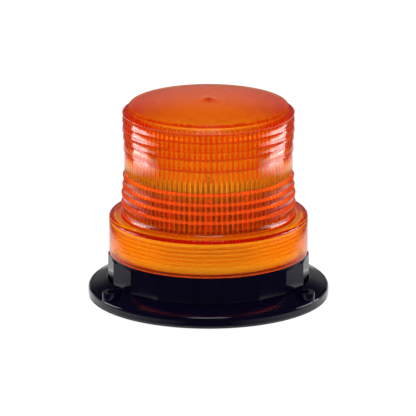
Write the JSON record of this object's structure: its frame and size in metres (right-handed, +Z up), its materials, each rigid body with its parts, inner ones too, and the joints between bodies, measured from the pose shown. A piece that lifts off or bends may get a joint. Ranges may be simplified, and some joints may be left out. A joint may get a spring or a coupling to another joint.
{
  "type": "led warning beacon",
  "caption": "Round amber LED warning beacon with a ribbed lens that unscrews from a black screw-down flange base.",
  "frame": {"origin": "centre of the underside of the foot gasket, on the surface that the beacon is screwed to", "axes": "+Z up along the beacon's centre line; -Y is the front, midway between two of the bolt bosses; +X to the right seen from the front"},
  "size_m": [0.15, 0.15, 0.1255],
  "materials": {
    "black_shell": "moulded black polycarbonate, semi-gloss",
    "gasket_rubber": "moulded black rubber",
    "vent_plastic": "dark grey moulded plastic",
    "screw_steel": "zinc-plated steel",
    "standoff_brass": "turned brass",
    "circuit_board": "green solder-mask on glass-fibre board",
    "terminal_green": "green moulded plastic",
    "capacitor_sleeve": "dark blue shrink sleeve",
    "component_black": "black epoxy package",
    "fuse_clip": "ivory fuse holder",
    "fuse_glass": "glass tube fuse",
    "white_plastic": "white moulded plastic",
    "wire_red": "red PVC insulation",
    "cap_plastic": "light grey moulded plastic",
    "heat_sink_metal": "clear anodised aluminium extrusion",
    "thermal_pad": "grey-blue silicone gap pad",
    "led_board": "grey solder-mask metal-core board",
    "led_ceramic": "white ceramic LED package",
    "led_silicone": "clear amber silicone dome",
    "amber_lens": "transparent amber polycarbonate, ribbed"
  },
  "bodies": {
    "base": {"mounting_flange": "black_shell", "lamp_housing": "black_shell", "base_gasket": "gasket_rubber", "cable_grommet": "gasket_rubber", "vent_plug": "vent_plastic", "housing_screws": "screw_steel", "board_screws": "screw_steel", "collar_screws": "screw_steel", "plate_screws": "screw_steel", "tower_screws": "screw_steel", "cap_screws": "screw_steel", "board_standoffs": "standoff_brass", "driver_board": "circuit_board", "link_board": "circuit_board", "terminal_block": "terminal_green", "filter_capacitors": "capacitor_sleeve", "power_inductor": "component_black", "driver_transistors": "component_black", "bridge_diodes": "component_black", "controller_chip": "component_black", "chip_resistors": "component_black", "fuse_holder": "fuse_clip", "fuse": "fuse_glass", "threaded_collar": "white_plastic", "reflector_plate": "white_plastic", "tower_cap": "cap_plastic", "lead_wires": "wire_red", "heat_sink_tower": "heat_sink_metal", "thermal_pads": "thermal_pad", "led_boards": "led_board", "led_packages": "led_ceramic", "led_domes": "led_silicone"},
    "seal": {"lens_seal": "gasket_rubber"},
    "lens": {"amber_lens": "amber_lens"}
  },
  "joints": [
    {"name": "lens_rise", "type": "slide", "parent": "base", "child": "seal", "axis": [0, 0, 1], "range_m": [0, 0.0162]},
    {"name": "lens_turn", "type": "hinge", "parent": "seal", "child": "lens", "pos_m": [0, 0, 0.04], "axis": [0, 0, 1], "range_deg": [0, 2160]}
  ],
  "couplings": [
    {"joint": "lens_rise", "follows": "lens_turn", "m_per_rad": 0.00042972}
  ]
}
